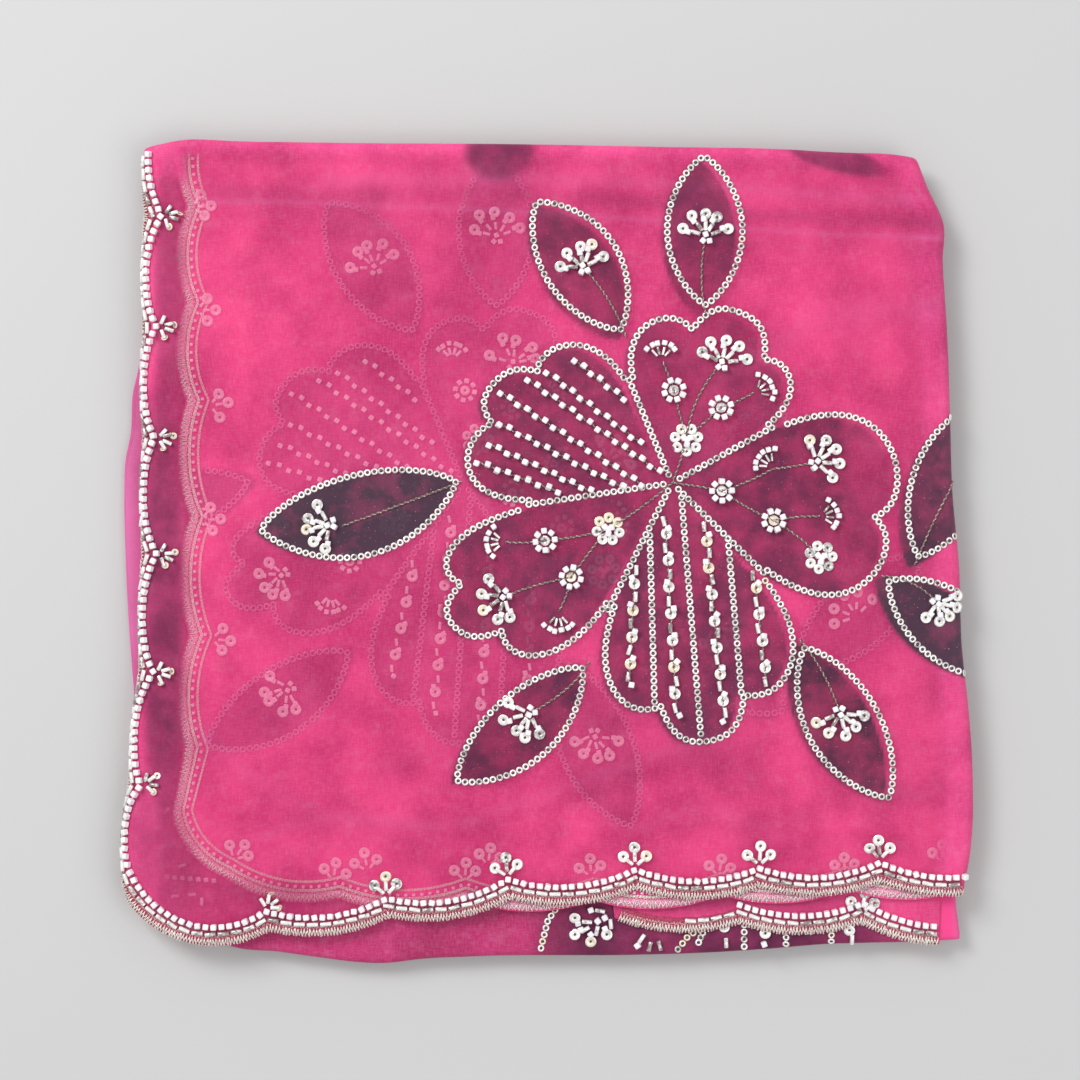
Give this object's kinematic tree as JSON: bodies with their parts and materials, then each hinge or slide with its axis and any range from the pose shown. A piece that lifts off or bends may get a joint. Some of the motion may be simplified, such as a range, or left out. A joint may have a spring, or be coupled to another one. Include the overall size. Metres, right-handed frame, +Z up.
{
  "type": "dupatta stole",
  "caption": "Sheer organza dupatta stole folded into a flat square pack, with a scalloped beaded hem and a flower worked in sequins. It lies on a surface.",
  "frame": {"origin": "centre of the bounding box in plan, on the surface that the pack lies on", "axes": "+X to the right of the pack and +Y to its top as seen from above, +Z up out of the pack"},
  "size_m": [0.3086, 0.2978, 0.0159],
  "materials": {
    "organza": "sheer woven",
    "zari": "metallic thread",
    "bugle_beads": "silver lined",
    "cube_beads": "pearl white",
    "sequins": "silver"
  },
  "bodies": {
    "root": {"folded_core": "organza", "fourth_layer": "organza", "third_layer": "organza", "second_layer": "organza", "top_layer": "organza", "top_zari_edging": "zari", "top_bugle_row": "bugle_beads", "top_bead_row": "cube_beads", "third_zari_edging": "zari", "third_bugle_row": "bugle_beads", "spoke_right": "sequins", "spoke_upper": "sequins", "spoke_left": "sequins", "spoke_lower_left": "sequins", "spoke_lower_right": "sequins", "petal_line_upper": "sequins", "petal_line_dotted": "sequins", "petal_line_left": "sequins", "petal_line_striped": "sequins", "petal_line_right": "sequins", "leaf_line_top": "sequins", "leaf_line_upper_left": "sequins", "leaf_line_left": "sequins", "leaf_line_lower_left": "sequins", "leaf_line_lower_right": "sequins", "leaf_line_right": "sequins", "leaf_line_upper_right": "sequins", "sprig_1": "sequins", "sprig_2": "sequins", "sprig_3": "sequins", "sprig_4": "sequins", "sprig_5": "sequins", "sprig_6": "sequins", "sprig_7": "sequins", "sprig_8": "sequins", "fleur_1": "sequins", "fleur_2": "sequins", "fleur_3": "sequins", "fleur_4": "sequins", "fleur_5": "sequins", "fleur_6": "sequins", "fleur_7": "sequins", "fleur_8": "sequins", "fleur_9": "sequins", "fleur_10": "sequins", "fleur_11": "sequins", "fleur_12": "sequins"}
  },
  "joints": []
}
